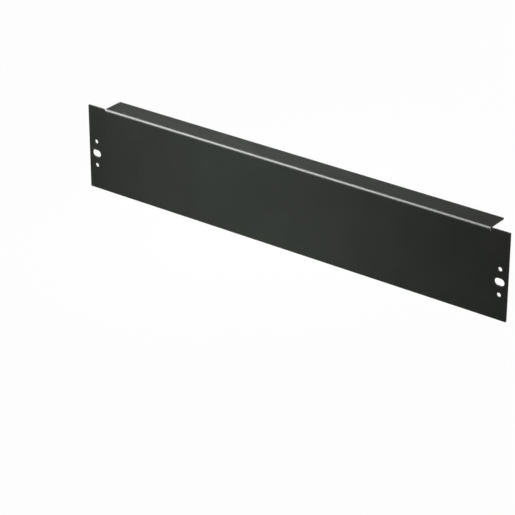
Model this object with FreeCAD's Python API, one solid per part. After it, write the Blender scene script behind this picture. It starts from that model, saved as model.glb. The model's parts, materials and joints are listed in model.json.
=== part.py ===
import FreeCAD, Part
import os

# Two-unit blanking panel for a 19-inch rack: one sheet of steel, cut to shape, pierced, and folded
# back along its top edge into a stiffening flange. Millimetres throughout. +X runs along the panel,
# -Y is its front and +Z is up. The origin is midway between the two rack slots, on the rear face,
# which is the face that bears on the rack's uprights.

# Driving dimensions of the sheet
panel_width = 482.6        # 19 inches, over both ears
panel_height = 88.1        # two units of 44.45, less the usual gap to the next panel
sheet = 1.5                # thickness
corner_radius = 0.8        # at the outer corners of the ears and of the flange

# Driving dimensions of the fold
fold_length = 440.8        # the flange ends short of the ears, clear of the uprights
flange_depth = 24.0        # from the front face to the flange's free edge
bend_inside = 1.2          # inside radius of the bend
relief_width = 0.8         # slit between the flange's end and the ear beside it
relief_depth = 4.2         # from the panel's top edge, a little past the bend

# Driving dimensions of the holes, with the slots' height from the panel's bottom edge
slot_spacing = 465.1       # between the two rack slots, centre to centre
slot_height = 37.7         # the upper hole of the lower rack unit
slot_length = 10.4
slot_width = 7.4
clip_hole_diameter = 4.3
clip_hole_offset = 12.7    # above and below each slot

# Values that follow from them, in the panel's own frame
half_width = panel_width / 2
half_fold = fold_length / 2
bottom = -slot_height
top = bottom + panel_height
front = -sheet
rear = 0.0
bend_outside = bend_inside + sheet
bend_axis_y = front + bend_outside
bend_axis_z = top - bend_outside
free_edge = front + flange_depth
past_sheet = 1.0           # how far each cutter runs past the face that it cuts
through = sheet + 2 * past_sheet
diagonal = 0.5 ** 0.5      # sine and cosine of 45 degrees, for the middle of a quarter bend


def at(x, y, z):
    """A point or direction in the panel's frame."""
    return FreeCAD.Vector(x, y, z)


def round_edges(solid, direction, chosen):
    """Rounds the edges that run along a direction and whose middle point is chosen."""
    edges = []
    for edge in solid.Edges:
        along = edge.tangentAt(edge.FirstParameter).cross(direction).Length < 1e-6
        if along and chosen(edge.CenterOfMass):
            edges.append(edge)
    return solid.makeFillet(corner_radius, edges)


def flat_face():
    """The flat of the panel with both ears, over its whole height and width."""
    plate = Part.makeBox(panel_width, sheet, panel_height, at(-half_width, front, bottom))
    return round_edges(plate, at(0, 1, 0), lambda point: True)


def bend_allowance():
    """A cutter for the strip of the flat along the top edge that the fold takes up."""
    return Part.makeBox(fold_length, through, bend_outside + past_sheet,
                        at(-half_fold, front - past_sheet, bend_axis_z))


def relief_slit(side):
    """A cutter for the slit with a round end that frees an end of the fold from its ear."""
    radius = relief_width / 2
    centre_x = side * (half_fold + radius)
    end_z = top - relief_depth + radius
    slit = Part.makeBox(relief_width, through, top + past_sheet - end_z,
                        at(centre_x - radius, front - past_sheet, end_z))
    round_end = Part.makeCylinder(radius, through, at(centre_x, front - past_sheet, end_z), at(0, 1, 0))
    return slit.fuse(round_end)


def folded_edge():
    """The bend and its flange: the sheet's section through the fold, drawn along X."""
    start = -half_fold
    outer_foot = at(start, front, bend_axis_z)
    outer_middle = at(start, bend_axis_y - bend_outside * diagonal, bend_axis_z + bend_outside * diagonal)
    outer_head = at(start, bend_axis_y, top)
    outer_tip = at(start, free_edge, top)
    inner_tip = at(start, free_edge, top - sheet)
    inner_head = at(start, bend_axis_y, top - sheet)
    inner_middle = at(start, bend_axis_y - bend_inside * diagonal, bend_axis_z + bend_inside * diagonal)
    inner_foot = at(start, rear, bend_axis_z)
    section = Part.Wire([
        Part.Arc(outer_foot, outer_middle, outer_head).toShape(),
        Part.makeLine(outer_head, outer_tip),
        Part.makeLine(outer_tip, inner_tip),
        Part.makeLine(inner_tip, inner_head),
        Part.Arc(inner_head, inner_middle, inner_foot).toShape(),
        Part.makeLine(inner_foot, outer_foot),
    ])
    fold = Part.Face(section).extrude(at(fold_length, 0, 0))
    return round_edges(fold, at(0, 0, 1), lambda point: point.y > free_edge - sheet)


def rack_slot(side):
    """A cutter for the level slot that takes a rack screw."""
    radius = slot_width / 2
    straight = slot_length - slot_width
    centre_x = side * slot_spacing / 2
    start_y = front - past_sheet
    cutter = Part.makeBox(straight, through, slot_width, at(centre_x - straight / 2, start_y, -radius))
    for end in (-1, 1):
        end_centre = at(centre_x + end * straight / 2, start_y, 0)
        cutter = cutter.fuse(Part.makeCylinder(radius, through, end_centre, at(0, 1, 0)))
    return cutter


def clip_hole(side, level):
    """A cutter for one of the small round holes above and below a slot."""
    centre = at(side * slot_spacing / 2, front - past_sheet, level * clip_hole_offset)
    return Part.makeCylinder(clip_hole_diameter / 2, through, centre, at(0, 1, 0))


def blanking_panel():
    """The whole panel: the flat less its bend strip and slits, with the fold, then pierced."""
    cuts = [bend_allowance()]
    holes = []
    for side in (-1, 1):
        cuts.append(relief_slit(side))
        holes.append(rack_slot(side))
        for level in (-1, 1):
            holes.append(clip_hole(side, level))
    sheet_metal = flat_face().cut(cuts).fuse(folded_edge())
    return sheet_metal.cut(holes).removeSplitter()


os.makedirs("parts", exist_ok=True)
panel = blanking_panel()
panel.Solids[0].exportStep("parts/blanking_panel.step")
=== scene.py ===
"""Two-unit rack blanking panel: one folded sheet of steel with a satin charcoal powder coat.

The sheet is worked out flat, as its blank, in two coordinates: x along the panel, and s up its
outer face. It is then folded back along its top edge by a formula, given its thickness, and its
edges are rounded as a powder coat rounds them. Metres throughout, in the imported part's frame.
"""
import json
import math

import bpy
import numpy as np
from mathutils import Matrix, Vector


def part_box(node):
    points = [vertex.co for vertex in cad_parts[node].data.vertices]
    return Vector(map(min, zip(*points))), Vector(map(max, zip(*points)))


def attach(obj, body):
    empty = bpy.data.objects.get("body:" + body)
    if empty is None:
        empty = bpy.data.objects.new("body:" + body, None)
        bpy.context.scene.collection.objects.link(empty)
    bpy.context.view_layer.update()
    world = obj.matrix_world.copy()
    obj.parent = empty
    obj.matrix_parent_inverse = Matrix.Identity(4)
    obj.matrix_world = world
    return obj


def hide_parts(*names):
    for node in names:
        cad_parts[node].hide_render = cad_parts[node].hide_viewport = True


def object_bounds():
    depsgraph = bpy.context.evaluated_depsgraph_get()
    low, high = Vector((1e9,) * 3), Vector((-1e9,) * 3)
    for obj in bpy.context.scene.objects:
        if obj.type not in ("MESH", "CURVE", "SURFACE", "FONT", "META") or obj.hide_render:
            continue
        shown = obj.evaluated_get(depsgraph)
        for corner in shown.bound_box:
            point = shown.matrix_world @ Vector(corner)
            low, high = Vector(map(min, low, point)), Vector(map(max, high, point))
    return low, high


bl_info = {
    "name": "Rack blanking panel",
    "version": (1, 0, 0),
    "blender": (4, 5, 0),
    "location": "View3D > Sidebar > Rack panel",
    "description": "Folded sheet-metal blanking panel for a 19-inch rack, with its coat and studio",
    "category": "Object",
}

NODE = "blanking_panel"

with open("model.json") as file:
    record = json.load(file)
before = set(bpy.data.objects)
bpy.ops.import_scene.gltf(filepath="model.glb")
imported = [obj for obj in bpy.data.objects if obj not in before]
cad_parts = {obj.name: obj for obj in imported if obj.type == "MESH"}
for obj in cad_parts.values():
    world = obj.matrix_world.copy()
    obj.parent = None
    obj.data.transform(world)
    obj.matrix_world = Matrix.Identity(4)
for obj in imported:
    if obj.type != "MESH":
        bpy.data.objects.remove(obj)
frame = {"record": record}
cad_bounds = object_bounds()


# ---- helpers ------------------------------------------------------------------------------------

def linear(code):
    """An sRGB hex value as linear red, green and blue, by the sRGB transfer curve."""
    channels = np.array([int(code[i:i + 2], 16) for i in (1, 3, 5)]) / 255
    curve = np.where(channels <= 0.04045, channels / 12.92, ((channels + 0.055) / 1.055) ** 2.4)
    return tuple(float(channel) for channel in curve)


def mount(name):
    """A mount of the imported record, by name."""
    for entry in frame["record"]["mounts"]:
        if entry["name"] == name:
            return entry
    raise RuntimeError("the packed record has no mount named " + name)


def add_node(tree, kind, settings=None, inputs=None):
    """Adds a node and sets its properties, then fills its inputs, by name or number, with values
    or with links from other nodes' sockets."""
    node = tree.nodes.new(kind)
    for name, value in (settings or {}).items():
        setattr(node, name, value)
    for name, value in (inputs or {}).items():
        if isinstance(value, bpy.types.NodeSocket):
            tree.links.new(value, node.inputs[name])
        else:
            node.inputs[name].default_value = value
    return node


def put_in_scene(thing):
    """Links an object to the scene's own collection."""
    bpy.context.scene.collection.objects.link(thing)
    return thing


# ---- driving sizes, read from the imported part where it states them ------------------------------

box_low, box_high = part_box(NODE)
screw_slots = mount("rack_slots")["dims"]
clip_holes = mount("clip_holes")["dims"]
MM = 0.001


class RackSheetSizes(bpy.types.PropertyGroup):
    """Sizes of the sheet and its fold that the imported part's box and mounts don't state."""
    fold_length: bpy.props.FloatProperty(
        name="Fold length", description="Length of the flange, which ends short of the ears",
        default=440.8 * MM, unit="LENGTH", subtype="DISTANCE", precision=4)
    bend_inside: bpy.props.FloatProperty(
        name="Inside bend radius", description="Radius of the sheet's inner face in the bend",
        default=1.2 * MM, unit="LENGTH", subtype="DISTANCE", precision=4)
    relief_width: bpy.props.FloatProperty(
        name="Relief slit width", description="Gap between the flange's end and the ear beside it",
        default=0.8 * MM, unit="LENGTH", subtype="DISTANCE", precision=4)
    relief_depth: bpy.props.FloatProperty(
        name="Relief slit depth",
        description="Reach of the slit from the panel's top edge, past the bend",
        default=4.2 * MM, unit="LENGTH", subtype="DISTANCE", precision=4)
    corner_radius: bpy.props.FloatProperty(
        name="Corner radius", description="Radius of the ears' and the flange's outer corners",
        default=0.8 * MM, unit="LENGTH", subtype="DISTANCE", precision=4)
    edge_radius: bpy.props.FloatProperty(
        name="Coated edge radius", description="Rounding that the powder coat gives every cut edge",
        default=0.2 * MM, unit="LENGTH", subtype="DISTANCE", precision=5)


class RackCoatLook(bpy.types.PropertyGroup):
    """Colour and gloss of the powder coat."""
    body_colour: bpy.props.FloatVectorProperty(
        name="Coat colour", description="Charcoal with a trace of green",
        default=linear("#1C201B"), subtype="COLOR", min=0, max=1)
    mottle_colour: bpy.props.FloatVectorProperty(
        name="Mottle colour", description="The slightly lighter clouds in the coat",
        default=linear("#1E221D"), subtype="COLOR", min=0, max=1)
    roughness: bpy.props.FloatProperty(
        name="Roughness", description="Satin: soft reflections with no clear image",
        default=0.44, min=0, max=1, subtype="FACTOR")
    orange_peel: bpy.props.FloatProperty(
        name="Orange peel", description="Distance between the coat's soft ripples",
        default=1.6 * MM, unit="LENGTH", subtype="DISTANCE", precision=5)
    grain: bpy.props.FloatProperty(
        name="Grain", description="Width of the melted powder's fine grain",
        default=0.45 * MM, unit="LENGTH", subtype="DISTANCE", precision=5)
    cloud_size: bpy.props.FloatProperty(
        name="Cloud size", description="Width of the faint clouds where the film varies",
        default=35 * MM, unit="LENGTH", subtype="DISTANCE", precision=4)
    gloss_change: bpy.props.FloatProperty(
        name="Gloss change", description="How far the clouds move the roughness each way",
        default=0.02, min=0, max=1, subtype="FACTOR")
    specular_level: bpy.props.FloatProperty(
        name="Specular level",
        description="Strength of the film's reflection, where 0.5 is what its IOR gives",
        default=0.095, min=0, max=1, subtype="FACTOR")


class RackStudio(bpy.types.PropertyGroup):
    """Light and view of the plain studio."""
    azimuth: bpy.props.FloatProperty(
        name="View azimuth", description="Turn of the camera to the panel's right",
        default=math.radians(36.70), subtype="ANGLE")
    elevation: bpy.props.FloatProperty(
        name="View elevation", description="Height of the camera as an angle",
        default=math.radians(26.77), subtype="ANGLE")
    distance: bpy.props.FloatProperty(
        name="View distance", description="Camera to the point that it looks at",
        default=2.1216, unit="LENGTH", subtype="DISTANCE")
    lens: bpy.props.FloatProperty(
        name="Lens", description="Focal length on a 36 mm wide sensor, in millimetres",
        default=157.76, unit="CAMERA")
    aim: bpy.props.FloatVectorProperty(
        name="View aim",
        description="Point that the camera looks at, from the middle of the panel's box",
        default=(-13.6 * MM, -38.7 * MM, -45.3 * MM), unit="LENGTH", subtype="XYZ", precision=4)
    key_power: bpy.props.FloatProperty(
        name="Key softbox", description="Power of the gridded softbox above the panel's left front",
        default=0.61, unit="POWER")
    sheen_power: bpy.props.FloatProperty(
        name="Sheen softbox", description="Power of the wide softbox that the bend reflects",
        default=405.0, unit="POWER")
    back_power: bpy.props.FloatProperty(
        name="Back softbox", description="Power of the low softbox behind the panel",
        default=12.0, unit="POWER")
    sky: bpy.props.FloatProperty(
        name="Room light", description="Strength of the even light from all round",
        default=0.10, min=0)
    mirrored_room: bpy.props.FloatProperty(
        name="Room in reflections",
        description="Level of the room where a gloss mirrors it, 1 for white",
        default=0.53, min=0)
    board_colour: bpy.props.FloatVectorProperty(
        name="Board colour", description="Colour of the floor board where the lamps light it",
        default=linear("#C8C8C6"), subtype="COLOR", min=0, max=1)
    board_glow: bpy.props.FloatProperty(
        name="Board glow",
        description="Share of the board that shows plain white, whatever its light",
        default=0.98, min=0, max=1, subtype="FACTOR")


# ---- the sheet as a flat blank ------------------------------------------------------------------
# A patch is (points, quads): points in (x, s), and quads that run anticlockwise as seen from the
# front.

def stitched(x, s):
    """A patch with quads between neighbouring rows and columns of a grid of points."""
    rows, columns = x.shape
    index = np.arange(rows * columns).reshape(rows, columns)
    corners = [index[:-1, :-1], index[:-1, 1:], index[1:, 1:], index[1:, :-1]]
    quads = np.stack(corners, axis=-1).reshape(-1, 4)
    return np.column_stack([x.ravel(), s.ravel()]), quads


def field(x_lines, s_lines):
    """A rectangular patch: every crossing of lines across x and lines across s."""
    x, s = np.meshgrid(x_lines, s_lines)
    return stitched(x, s)


def between(outer, inner, rings):
    """A patch of rings from an outer path to an inner one, point by point in a straight line."""
    share = np.linspace(0, 1, rings + 1)[:, None]
    x = outer[:, 0] + share * (inner[:, 0] - outer[:, 0])
    s = outer[:, 1] + share * (inner[:, 1] - outer[:, 1])
    return stitched(x, s)


def flipped(patch, along_x):
    """A patch mirrored in x or in s, with its quads turned so that they still face the front."""
    points, quads = patch
    return points * ((-1, 1) if along_x else (1, -1)), quads[:, ::-1]


def joined(patches):
    """One patch of several: points that fall on each other, to a nanometre, are made one."""
    starts = np.cumsum([0] + [len(points) for points, quads in patches])
    points = np.concatenate([points for points, quads in patches])
    quads = np.concatenate([quads + start for (_, quads), start in zip(patches, starts)])
    _, first, merged = np.unique(np.round(points, 9), axis=0,
                                 return_index=True, return_inverse=True)
    return points[first], merged.ravel()[quads]


def pierced(centre_s, centre_x, half_x, half_s, straight, radius, cells_x, cells_s, rings=4):
    """A rectangle round a hole with level straight sides and round ends, or round a circle.

    The hole's outline is a circle with the straight length let in at its top and bottom: at normal
    angle a, the point is (shift + radius cos a, radius sin a), where shift goes from -straight/2 to
    +straight/2 while a stands at a quarter turn. With straight at 0 it is a plain circle. Half the
    loop is worked out, and the other half is the same points through the centre."""
    eighth = radius * math.pi / 4
    run = np.linspace(0, 2 * eighth + straight, cells_x + 1)[:-1]
    turned = np.clip(run, 0, eighth) + np.clip(run - eighth - straight, 0, eighth)
    end_turn = np.linspace(-math.pi / 4, math.pi / 4, cells_s + 1)[:-1]
    angle = np.concatenate([turned / radius - 3 * math.pi / 4, end_turn])
    shift = np.concatenate([np.clip(run - eighth, 0, straight), np.full(cells_s, straight)])
    inner_half = np.column_stack([shift - straight / 2 + radius * np.cos(angle),
                                  radius * np.sin(angle)])
    foot_x = np.linspace(-half_x, half_x, cells_x + 1)[:-1]
    side_s = np.linspace(-half_s, half_s, cells_s + 1)[:-1]
    outer_half = np.concatenate([np.column_stack([foot_x, np.full(cells_x, -half_s)]),
                                 np.column_stack([np.full(cells_s, half_x), side_s])])
    centre = np.array([centre_x, centre_s])
    outer = centre + np.concatenate([outer_half, -outer_half, outer_half[:1]])
    inner = centre + np.concatenate([inner_half, -inner_half, inner_half[:1]])
    return between(outer, inner, rings)


def rounded_corner(x_inner, x_outer, s_inner, s_outer, radius, cells):
    """A rectangle whose outer corner is a quarter circle.

    Each point has a rank, the larger of its two shares of the block. The outermost rank is moved
    from the square's boundary to the rounded one, whose last two cells each way are the arc, and
    the move fades with the cube of the rank towards the block's inner corner."""
    arc_cells = 2
    u, v = np.meshgrid(np.linspace(0, 1, cells + 1), np.linspace(0, 1, cells + 1))
    rank = np.maximum(np.maximum(u, v), 1e-9)  # never 0, so that the inner corner can be divided
    place = np.minimum(u, v) / rank
    start = (cells - arc_cells) / cells
    turn = np.clip((place - start) / (1 - start), 0, 1) * math.pi / 4
    straight = np.clip(place / start, 0, 1)

    def outline(length):
        """The rounded boundary's (run along a side, drop below it) for a block of this length."""
        run = straight * (length - radius) + radius * np.sin(turn)
        return run, radius * (1 - np.cos(turn))

    width, height = x_outer - x_inner, s_outer - s_inner
    run_x, drop = outline(width)
    run_s, _ = outline(height)
    on_top = v >= u
    fade = rank ** 3
    x = u * width + fade * np.where(on_top, run_x - place * width, -drop)
    s = v * height + fade * np.where(on_top, -drop, run_s - place * height)
    return stitched(x_inner + x, s_inner + s)


def slit_end(x_left, x_right, slit_left, slit_right, s_low, s_centre, s_high,
             side_cells, end_cells, rings):
    """The part of the blank round a relief slit's round end: a U of rings, whose inner path is
    down one side of the slit, round a half circle, and up the other side."""
    radius = (slit_right - slit_left) / 2
    down = np.linspace(0, 1, side_cells + 1)[:-1]
    across = np.linspace(0, 1, end_cells + 1)
    left = np.column_stack([np.full(side_cells, x_left), s_high + (s_low - s_high) * down])
    foot = np.column_stack([x_left + (x_right - x_left) * across, np.full(end_cells + 1, s_low)])
    right = np.column_stack([np.full(side_cells, x_right), left[::-1, 1]])
    angle = math.pi * (1 + across)
    middle = (slit_left + slit_right) / 2
    slit_down = np.column_stack([np.full(side_cells, slit_left),
                                 s_high + (s_centre - s_high) * down])
    half_circle = np.column_stack([middle + radius * np.cos(angle),
                                   s_centre + radius * np.sin(angle)])
    slit_up = np.column_stack([np.full(side_cells, slit_right), slit_down[::-1, 1]])
    outer = np.concatenate([left, foot, right])
    inner = np.concatenate([slit_down, half_circle, slit_up])
    return between(outer, inner, rings)


def lines(*stops):
    """Grid lines: each (count, place) adds that many even steps from the last line to the place."""
    placed = [np.array([stops[0]])]
    for count, place in stops[1:]:
        placed.append(np.linspace(placed[-1][-1], place, count + 1)[1:])
    return np.concatenate(placed)


def blank_of(sizes):
    """The whole blank as one patch, with the s of the bend line and the x of the fold's end.

    s is a point's height in the panel's frame up to the bend line, and the length along the outer
    face beyond it. The right half is laid out in columns (web, slit, gap, holes, edge) and rows,
    each patch ending on its neighbours' lines. The left half is its mirror image."""
    half_width = (box_high.x - box_low.x) / 2
    top, bottom = box_high.z, box_low.z
    hole_x = screw_slots["spacing_x_mm"] * MM / 2
    clip_step = clip_holes["spacing_y_mm"] * MM / 2
    slot_radius = screw_slots["hole_r_mm"] * MM
    slot_straight = screw_slots["slot_length_mm"] * MM - 2 * slot_radius
    clip_radius = clip_holes["hole_r_mm"] * MM
    bend_outside = sizes.bend_inside - box_low.y
    bend_line = top - bend_outside
    flange_end = bend_line + bend_outside * math.pi / 2 + (box_high.y - box_low.y - bend_outside)

    # columns: patch edges across x
    fold_end = sizes.fold_length / 2
    slit_edge = fold_end + sizes.relief_width
    beside_slit = 3.0 * MM
    web_end = fold_end - beside_slit
    ear_start = slit_edge + beside_slit
    patch_half_x = 6.7 * MM
    hole_start, hole_stop = hole_x - patch_half_x, hole_x + patch_half_x
    # rows: patch edges across s
    patch_half_s = 5.5 * MM
    corner_block = half_width - hole_stop
    under_slit = 2.35 * MM
    below_slit = top - sizes.relief_depth - under_slit
    slit_centre = top - sizes.relief_depth + sizes.relief_width / 2
    levels = [step * clip_step for step in (-1, 0, 1)]
    low_s, high_s = levels[0] - patch_half_s, levels[2] + patch_half_s

    # cells across each stretch
    web_cells, slit_rings, slit_foot, slit_side, gap_cells = 44, 6, 12, 6, 3
    hole_cells_x, hole_cells_s, corner_cells, land_cells = 16, 12, 6, 2
    foot_cells, neck_cells, head_cells, bend_cells, flange_cells = 5, 8, 2, 18, 7
    web_x = lines(0.0, (web_cells, web_end))
    fold_x = lines(web_end, (slit_rings, fold_end))
    ear_side_x = lines(slit_edge, (slit_rings, ear_start))
    slit_x = lines(web_end, (slit_foot, ear_start))
    gap_x = lines(ear_start, (gap_cells, hole_start))
    hole_columns = lines(hole_start, (hole_cells_x, hole_stop))
    edge_x = lines(hole_stop, (corner_cells, half_width))
    foot_s = lines(bottom, (corner_cells, bottom + corner_block), (foot_cells, low_s))
    hole_rows = lines(low_s, (hole_cells_s, levels[0] + patch_half_s),
                      (land_cells, levels[1] - patch_half_s),
                      (hole_cells_s, levels[1] + patch_half_s),
                      (land_cells, levels[2] - patch_half_s), (hole_cells_s, high_s))
    neck_s = lines(high_s, (neck_cells, below_slit))
    body_s = np.concatenate([foot_s[:-1], hole_rows, neck_s[1:]])
    slit_s = lines(below_slit, (slit_side, bend_line))
    head_s = lines(bend_line, (head_cells, top - corner_block), (corner_cells, top))
    bend_s = lines(bend_line, (bend_cells, bend_line + bend_outside * math.pi / 2))
    flange_s = lines(bend_s[-1], (flange_cells, flange_end - beside_slit), (slit_rings, flange_end))

    # the flat below the slits' feet: plain fields, holes with the lands between them, the corner
    foot_corner = rounded_corner(hole_stop, half_width, -bottom - corner_block, -bottom,
                                 sizes.corner_radius, corner_cells)
    patches = [
        field(np.concatenate([web_x[:-1], slit_x[:-1], gap_x]), body_s),
        field(edge_x, body_s[corner_cells:]),
        flipped(foot_corner, along_x=False),
    ]
    clip, slot = (0, clip_radius), (slot_straight, slot_radius)
    for level, (straight, radius) in zip(levels, (clip, slot, clip)):
        patches.append(pierced(level, hole_x, patch_half_x, patch_half_s, straight, radius,
                               hole_cells_x, hole_cells_s))
    lands = [foot_s, neck_s]
    for below, above in zip(levels, levels[1:]):
        lands.append(lines(below + patch_half_s, (land_cells, above - patch_half_s)))
    patches += [field(hole_columns, land) for land in lands]

    # above the slits' feet: web, slit and ear, then the fold
    patches += [
        field(web_x, slit_s),
        slit_end(web_end, ear_start, fold_end, slit_edge, below_slit, slit_centre, bend_line,
                 slit_side, slit_foot, slit_rings),
        field(np.concatenate([gap_x, hole_columns[1:], edge_x[1:]]), slit_s),
        field(np.concatenate([ear_side_x, gap_x[1:], hole_columns[1:]]), head_s),
        field(edge_x, head_s[:-corner_cells]),
        rounded_corner(hole_stop, half_width, top - corner_block, top,
                       sizes.corner_radius, corner_cells),
        field(np.concatenate([web_x, fold_x[1:]]),
              np.concatenate([bend_s, flange_s[1:-slit_rings]])),
        field(web_x, flange_s[-1 - slit_rings:]),
        rounded_corner(web_end, fold_end, flange_s[-1 - slit_rings], flange_end,
                       sizes.corner_radius, slit_rings),
    ]
    right_half = joined(patches)
    return joined([right_half, flipped(right_half, along_x=True)]), bend_line, fold_end


def folded(points, bend_line, fold_end, bend_outside):
    """The blank's outer face folded back: beyond the bend line, s first goes round the bend.

    With t the length past the bend line, the turn is a = t / radius, held at a quarter turn. Height
    is bend line + radius sin a, and depth behind the front face is radius (1 - cos a) plus whatever
    of t is left after the bend. Ears, which lie outside the slits, aren't folded."""
    x, s = points.T
    sliver = 1e-7  # takes in the fold's own end, and nothing across the slit
    past = np.clip(s - bend_line, 0, None)
    turn = np.clip(past / bend_outside, 0, math.pi / 2)
    height = np.minimum(s, bend_line) + bend_outside * np.sin(turn)
    depth = bend_outside * (1 - np.cos(turn)) + np.clip(past - bend_outside * math.pi / 2, 0, None)
    in_fold = np.abs(x) < fold_end + sliver
    return np.column_stack([x, box_low.y + np.where(in_fold, depth, 0),
                            np.where(in_fold, height, s)])


# ---- the powder coat ----------------------------------------------------------------------------

def powder_coat(look):
    """Polyester powder coat, sprayed dry and baked on steel: a satin charcoal film.

    To the eye it is one even dark colour with broad soft reflections. Close to, the melted powder
    leaves soft ripples, called orange peel, over a fine grain, and faint clouds where the film
    varies. Ripples and grain are drawn a little coarser than on a real coat, so that they show. The
    reflection is set well below a clear film's, because this coat stays dark over a white floor."""
    coat = bpy.data.materials.new("satin_charcoal_powder_coat")
    coat.use_nodes = True
    tree = coat.node_tree
    tree.nodes.clear()
    place = add_node(tree, "ShaderNodeTexCoord").outputs["Object"]
    clouds = add_node(tree, "ShaderNodeTexNoise", {},
                      {"Vector": place, "Scale": 1 / look.cloud_size,
                       "Detail": 3.0, "Roughness": 0.55})
    cloud_share = add_node(tree, "ShaderNodeMapRange", {"clamp": True},
                           {"Value": clouds.outputs["Fac"], "From Min": 0.35, "From Max": 0.65})
    colour = add_node(tree, "ShaderNodeMix", {"data_type": "RGBA"},
                      {"Factor": cloud_share.outputs["Result"],
                       "A": (*look.body_colour, 1), "B": (*look.mottle_colour, 1)})
    gloss = add_node(tree, "ShaderNodeMapRange", {"clamp": True},
                     {"Value": clouds.outputs["Fac"], "From Min": 0.3, "From Max": 0.7,
                      "To Min": look.roughness - look.gloss_change,
                      "To Max": look.roughness + look.gloss_change})
    ripples = add_node(tree, "ShaderNodeTexNoise", {},
                       {"Vector": place, "Scale": 1 / look.orange_peel,
                        "Detail": 1.0, "Roughness": 0.4})
    grain = add_node(tree, "ShaderNodeTexNoise", {},
                     {"Vector": place, "Scale": 1 / look.grain, "Detail": 2.0, "Roughness": 0.5})
    rippled = add_node(tree, "ShaderNodeBump", {},
                       {"Height": ripples.outputs["Fac"], "Strength": 0.25, "Distance": 0.03 * MM})
    grained = add_node(tree, "ShaderNodeBump", {},
                       {"Height": grain.outputs["Fac"], "Strength": 0.35, "Distance": 0.01 * MM,
                        "Normal": rippled.outputs["Normal"]})
    shader = add_node(tree, "ShaderNodeBsdfPrincipled", {},
                      {"Base Color": colour.outputs["Result"], "Roughness": gloss.outputs["Result"],
                       "Normal": grained.outputs["Normal"], "Metallic": 0.0, "IOR": 1.5,
                       "Specular IOR Level": look.specular_level})
    add_node(tree, "ShaderNodeOutputMaterial", {}, {"Surface": shader.outputs["BSDF"]})
    return coat


class RACK_OT_folded_sheet(bpy.types.Operator):
    """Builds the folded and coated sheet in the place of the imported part's solid"""
    bl_idname = "rack.folded_sheet"
    bl_label = "Folded sheet"

    def execute(self, context):
        sizes = context.scene.rack_sheet
        thickness = -box_low.y
        bend_outside = sizes.bend_inside + thickness
        (points, quads), bend_line, fold_end = blank_of(sizes)
        surface = folded(points, bend_line, fold_end, bend_outside)
        mesh = bpy.data.meshes.new("powder_coated_panel")
        mesh.from_pydata(surface.tolist(), [], quads.tolist())
        if mesh.validate():
            raise RuntimeError("the folded sheet has broken faces")
        mesh.shade_smooth()
        mesh.materials.append(powder_coat(context.scene.rack_coat))
        panel = put_in_scene(bpy.data.objects.new("powder_coated_panel", mesh))

        wall = panel.modifiers.new("sheet thickness", "SOLIDIFY")
        wall.thickness = thickness
        wall.offset = -1
        wall.use_even_offset = True
        edges = panel.modifiers.new("coated edges", "BEVEL")
        edges.width = sizes.edge_radius
        edges.segments = 3
        edges.limit_method = "ANGLE"
        edges.angle_limit = math.radians(50)
        edges.use_clamp_overlap = False
        edges.harden_normals = True

        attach(panel, "root")
        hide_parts(NODE)
        return {"FINISHED"}


# ---- the studio ---------------------------------------------------------------------------------
# Places and aims are from the middle of the panel's box. A softbox's size is its width and height.

KEY_PLACE, KEY_SIZE = Vector((-0.30, -0.68, 0.84)), (0.30, 0.30)
KEY_AIM = Vector((-0.046, 0, 0))  # a little left of the middle, where the pool of light lies
KEY_SPREAD = 22  # degrees, by a honeycomb grid
SHEEN_PLACE, SHEEN_SIZE = Vector((-0.80, -0.49, 0.97)), (1.3, 1.3)
BACK_PLACE, BACK_SIZE = Vector((0.55, 0.95, 0.20)), (0.9, 0.5)
FLOOR_REACH = 6.0  # from the middle to each side
SENSOR_WIDTH = 36.0  # millimetres, as Blender states it


def white_floor(studio):
    """Matt white studio board, plain white to the camera and in reflections but for a small part,
    which takes the lamps' light and the panel's shadow."""
    board = bpy.data.materials.new("matt_white_board")
    board.use_nodes = True
    tree = board.node_tree
    tree.nodes.clear()
    rays = add_node(tree, "ShaderNodeLightPath").outputs
    seen = add_node(tree, "ShaderNodeMath", {"operation": "MAXIMUM"},
                    {0: rays["Is Camera Ray"], 1: rays["Is Glossy Ray"]})
    seen = add_node(tree, "ShaderNodeMath", {"operation": "MAXIMUM"},
                    {0: seen.outputs["Value"], 1: rays["Is Transmission Ray"]})
    share = add_node(tree, "ShaderNodeMath", {"operation": "MULTIPLY"},
                     {0: seen.outputs["Value"], 1: studio.board_glow})
    lit = add_node(tree, "ShaderNodeBsdfDiffuse", {}, {"Color": (*studio.board_colour, 1)})
    plain = add_node(tree, "ShaderNodeEmission", {}, {"Color": (1, 1, 1, 1), "Strength": 1.0})
    mixed = add_node(tree, "ShaderNodeMixShader", {},
                     {0: share.outputs["Value"], 1: lit.outputs["BSDF"],
                      2: plain.outputs["Emission"]})
    add_node(tree, "ShaderNodeOutputMaterial", {}, {"Surface": mixed.outputs["Shader"]})
    return board


def white_room(studio):
    """Even light from all round, plain white where the camera sees it, pale grey in reflections."""
    world = bpy.data.worlds.new("white_room")
    world.use_nodes = True
    tree = world.node_tree
    tree.nodes.clear()
    rays = add_node(tree, "ShaderNodeLightPath").outputs
    mirrored = add_node(tree, "ShaderNodeMath", {"operation": "MAXIMUM"},
                        {0: rays["Is Glossy Ray"], 1: rays["Is Transmission Ray"]})
    level = add_node(tree, "ShaderNodeMapRange", {},
                     {"Value": mirrored.outputs["Value"], "To Min": studio.sky,
                      "To Max": studio.mirrored_room})
    seen = add_node(tree, "ShaderNodeMath", {"operation": "MAXIMUM"},
                    {0: level.outputs["Result"], 1: rays["Is Camera Ray"]})
    light = add_node(tree, "ShaderNodeBackground", {},
                     {"Color": (1, 1, 1, 1), "Strength": seen.outputs["Value"]})
    add_node(tree, "ShaderNodeOutputWorld", {}, {"Surface": light.outputs["Background"]})
    return world


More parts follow.
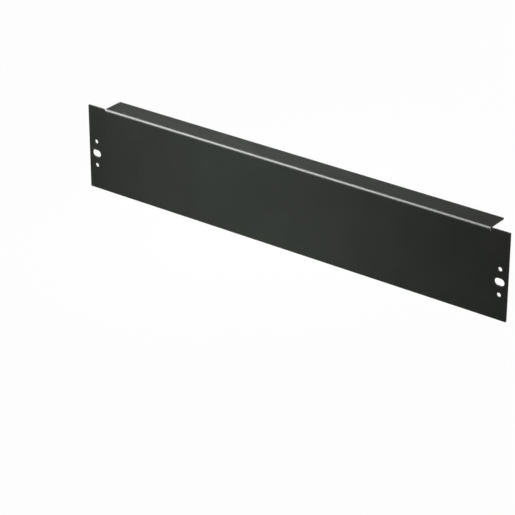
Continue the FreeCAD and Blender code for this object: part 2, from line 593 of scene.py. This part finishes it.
def softbox(name, place, aim, width, height, power, spread=180):
    """A rectangular area lamp at a place, facing its aim. A grid narrows its spread, in degrees."""
    lamp = bpy.data.lights.new(name, "AREA")
    lamp.shape = "RECTANGLE"
    lamp.size = width
    lamp.size_y = height
    lamp.energy = power
    lamp.spread = math.radians(spread)
    light = put_in_scene(bpy.data.objects.new(name, lamp))
    light.location = place
    light.rotation_euler = (aim - place).to_track_quat("-Z", "Y").to_euler()
    return light


def studio_floor(height, studio):
    """A square board, far wider than any view of the panel, at the height of its lowest edge."""
    turns = ((-1, -1), (1, -1), (1, 1), (-1, 1))
    corners = [(x * FLOOR_REACH, y * FLOOR_REACH, height) for x, y in turns]
    board = bpy.data.meshes.new("studio_floor")
    board.from_pydata(corners, [], [(0, 1, 2, 3)])
    board.materials.append(white_floor(studio))
    return put_in_scene(bpy.data.objects.new("studio_floor", board))


def three_softboxes(centre, studio):
    """A gridded key for the pool of light on the front, a wide one for the line along the bend, and
    a low one for the back. The wide one only shows in reflections, so that the front stays dark."""
    softbox("key_softbox", centre + KEY_PLACE, centre + KEY_AIM, *KEY_SIZE, studio.key_power,
            KEY_SPREAD)
    sheen = softbox("sheen_softbox", centre + SHEEN_PLACE, centre, *SHEEN_SIZE, studio.sheen_power)
    sheen.visible_diffuse = False
    softbox("back_softbox", centre + BACK_PLACE, centre, *BACK_SIZE, studio.back_power)


def camera_at(aim, studio):
    """A camera at its azimuth, elevation and distance from the point that it looks at."""
    level = math.cos(studio.elevation)
    back = Vector((math.sin(studio.azimuth) * level, -math.cos(studio.azimuth) * level,
                   math.sin(studio.elevation)))
    lens = bpy.data.cameras.new("camera")
    lens.lens = studio.lens
    lens.sensor_width = SENSOR_WIDTH
    camera = put_in_scene(bpy.data.objects.new("camera", lens))
    camera.location = aim + back * studio.distance
    camera.rotation_euler = back.to_track_quat("Z", "Y").to_euler()
    return camera


class RACK_OT_studio(bpy.types.Operator):
    """Sets a white floor, a white room, three softboxes and the camera round the panel"""
    bl_idname = "rack.studio"
    bl_label = "Studio"

    def execute(self, context):
        scene = context.scene
        studio = scene.rack_studio
        low, high = cad_bounds
        centre = (Vector(low) + Vector(high)) / 2
        floor = studio_floor(low[2], studio)
        scene.world = white_room(studio)
        three_softboxes(centre, studio)
        scene.camera = camera_at(centre + Vector(studio.aim), studio)
        scene.view_settings.view_transform = "Standard"
        return {"FINISHED"}


class RACK_PT_panel(bpy.types.Panel):
    """Lists the sizes and looks, and the operators that build from them"""
    bl_label = "Rack panel"
    bl_idname = "RACK_PT_panel"
    bl_space_type = "VIEW_3D"
    bl_region_type = "UI"
    bl_category = "Rack panel"

    def draw(self, context):
        for group in ("rack_sheet", "rack_coat", "rack_studio"):
            settings = getattr(context.scene, group)
            column = self.layout.column(align=True)
            for name in settings.__annotations__:
                column.prop(settings, name)
        for operator in (RACK_OT_folded_sheet, RACK_OT_studio):
            self.layout.operator(operator.bl_idname)


CLASSES = (RackSheetSizes, RackCoatLook, RackStudio,
           RACK_OT_folded_sheet, RACK_OT_studio, RACK_PT_panel)


def register():
    """Registers the classes and gives the scene its three groups of settings."""
    for each in CLASSES:
        bpy.utils.register_class(each)
    bpy.types.Scene.rack_sheet = bpy.props.PointerProperty(type=RackSheetSizes)
    bpy.types.Scene.rack_coat = bpy.props.PointerProperty(type=RackCoatLook)
    bpy.types.Scene.rack_studio = bpy.props.PointerProperty(type=RackStudio)


def unregister():
    """Takes the settings and the classes away again."""
    for group in ("rack_sheet", "rack_coat", "rack_studio"):
        delattr(bpy.types.Scene, group)
    for each in reversed(CLASSES):
        bpy.utils.unregister_class(each)


def main():
    """Registers the classes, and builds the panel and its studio."""
    register()
    bpy.ops.rack.folded_sheet()
    bpy.ops.rack.studio()


if __name__ == "__main__":
    main()
